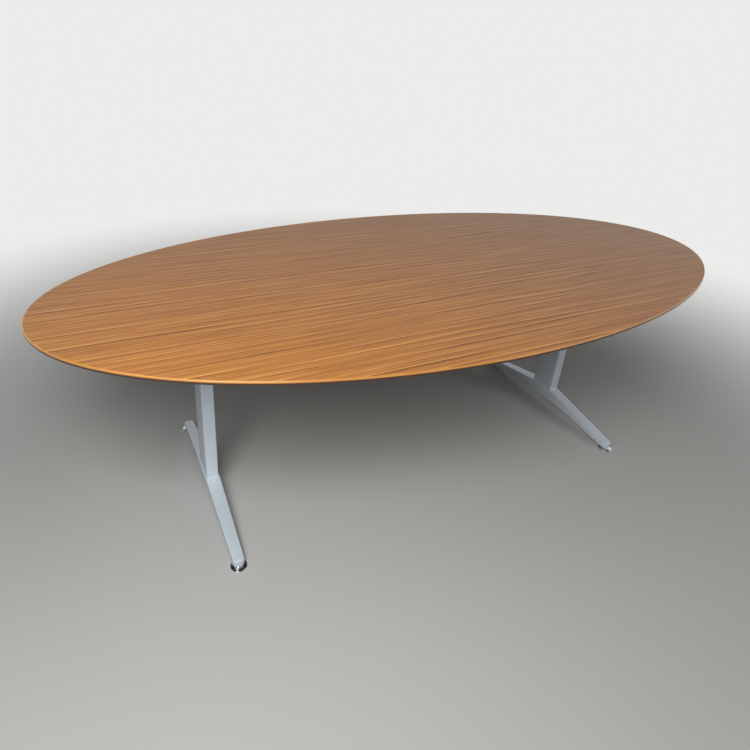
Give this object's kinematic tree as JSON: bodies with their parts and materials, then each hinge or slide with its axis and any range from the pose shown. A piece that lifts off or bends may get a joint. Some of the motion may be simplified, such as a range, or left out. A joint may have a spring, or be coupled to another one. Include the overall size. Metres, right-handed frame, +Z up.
{
  "type": "conference table",
  "caption": "Oval wood-veneered conference table with an undercut edge on two silver T-legs with tapered cast feet and screw-adjusted chrome levelling glides.",
  "frame": {"origin": "on the floor, under the middle of the top", "axes": "+X along the length of the top, +Y to the back (the picture is taken from -Y), +Z up"},
  "size_m": [2.4, 1.2, 0.72],
  "materials": {
    "cherry_veneer": "satin lacquered veneer, straight grain along the length",
    "cherry_edge": "satin lacquered edge band with rounded arrises",
    "stained_core": "fibreboard, bevel stained and sealed",
    "backing_sheet": "matt balancing sheet",
    "silver_paint": "satin silver powder coat",
    "silver_casting": "cast, satin silver powder coat",
    "plain_steel": "sawn and drilled",
    "zinc_steel": "zinc plated",
    "chrome": "polished chrome plate",
    "nylon_pad": "moulded nylon"
  },
  "bodies": {
    "table": {"top_veneer": "cherry_veneer", "edge_band": "cherry_edge", "top_core": "stained_core", "top_backing": "backing_sheet", "board_inserts": "zinc_steel", "column_left": "silver_paint", "head_arm_left": "silver_paint", "foot_left": "silver_casting", "base_plug_left": "plain_steel", "top_plug_left": "plain_steel", "foot_bolts_left": "zinc_steel", "foot_washers_left": "zinc_steel", "head_screws_left": "zinc_steel", "arm_screws_left": "zinc_steel", "rail_bolts_left": "zinc_steel", "rail_nuts_left": "zinc_steel", "column_right": "silver_paint", "head_arm_right": "silver_paint", "foot_right": "silver_casting", "base_plug_right": "plain_steel", "top_plug_right": "plain_steel", "foot_bolts_right": "zinc_steel", "foot_washers_right": "zinc_steel", "head_screws_right": "zinc_steel", "arm_screws_right": "zinc_steel", "rail_bolts_right": "zinc_steel", "rail_nuts_right": "zinc_steel", "rail_front": "silver_paint", "rail_plates_front": "silver_paint", "rail_screws_front": "zinc_steel", "rail_back": "silver_paint", "rail_plates_back": "silver_paint", "rail_screws_back": "zinc_steel", "glide_bush_front_left": "zinc_steel", "glide_bush_back_left": "zinc_steel", "glide_bush_front_right": "zinc_steel", "glide_bush_back_right": "zinc_steel"},
    "glide_front_left": {"glide_base_front_left": "chrome", "glide_pad_front_left": "nylon_pad"},
    "stem_front_left": {"glide_stem_front_left": "chrome"},
    "glide_back_left": {"glide_base_back_left": "chrome", "glide_pad_back_left": "nylon_pad"},
    "stem_back_left": {"glide_stem_back_left": "chrome"},
    "glide_front_right": {"glide_base_front_right": "chrome", "glide_pad_front_right": "nylon_pad"},
    "stem_front_right": {"glide_stem_front_right": "chrome"},
    "glide_back_right": {"glide_base_back_right": "chrome", "glide_pad_back_right": "nylon_pad"},
    "stem_back_right": {"glide_stem_back_right": "chrome"}
  },
  "joints": [
    {"name": "glide_front_left_travel", "type": "slide", "parent": "table", "child": "glide_front_left", "axis": [0, 0, -1], "range_m": [0, 0.008]},
    {"name": "glide_front_left_turn", "type": "hinge", "parent": "glide_front_left", "child": "stem_front_left", "pos_m": [-0.74, -0.35, 0.009], "axis": [0, 0, -1], "range_deg": [0, 1920]},
    {"name": "glide_back_left_travel", "type": "slide", "parent": "table", "child": "glide_back_left", "axis": [0, 0, -1], "range_m": [0, 0.008]},
    {"name": "glide_back_left_turn", "type": "hinge", "parent": "glide_back_left", "child": "stem_back_left", "pos_m": [-0.74, 0.35, 0.009], "axis": [0, 0, -1], "range_deg": [0, 1920]},
    {"name": "glide_front_right_travel", "type": "slide", "parent": "table", "child": "glide_front_right", "axis": [0, 0, -1], "range_m": [0, 0.008]},
    {"name": "glide_front_right_turn", "type": "hinge", "parent": "glide_front_right", "child": "stem_front_right", "pos_m": [0.74, -0.35, 0.009], "axis": [0, 0, -1], "range_deg": [0, 1920]},
    {"name": "glide_back_right_travel", "type": "slide", "parent": "table", "child": "glide_back_right", "axis": [0, 0, -1], "range_m": [0, 0.008]},
    {"name": "glide_back_right_turn", "type": "hinge", "parent": "glide_back_right", "child": "stem_back_right", "pos_m": [0.74, 0.35, 0.009], "axis": [0, 0, -1], "range_deg": [0, 1920]}
  ],
  "couplings": [
    {"joint": "glide_front_left_turn", "follows": "glide_front_left_travel", "rad_per_m": 4188.8},
    {"joint": "glide_back_left_turn", "follows": "glide_back_left_travel", "rad_per_m": 4188.8},
    {"joint": "glide_front_right_turn", "follows": "glide_front_right_travel", "rad_per_m": 4188.8},
    {"joint": "glide_back_right_turn", "follows": "glide_back_right_travel", "rad_per_m": 4188.8}
  ]
}
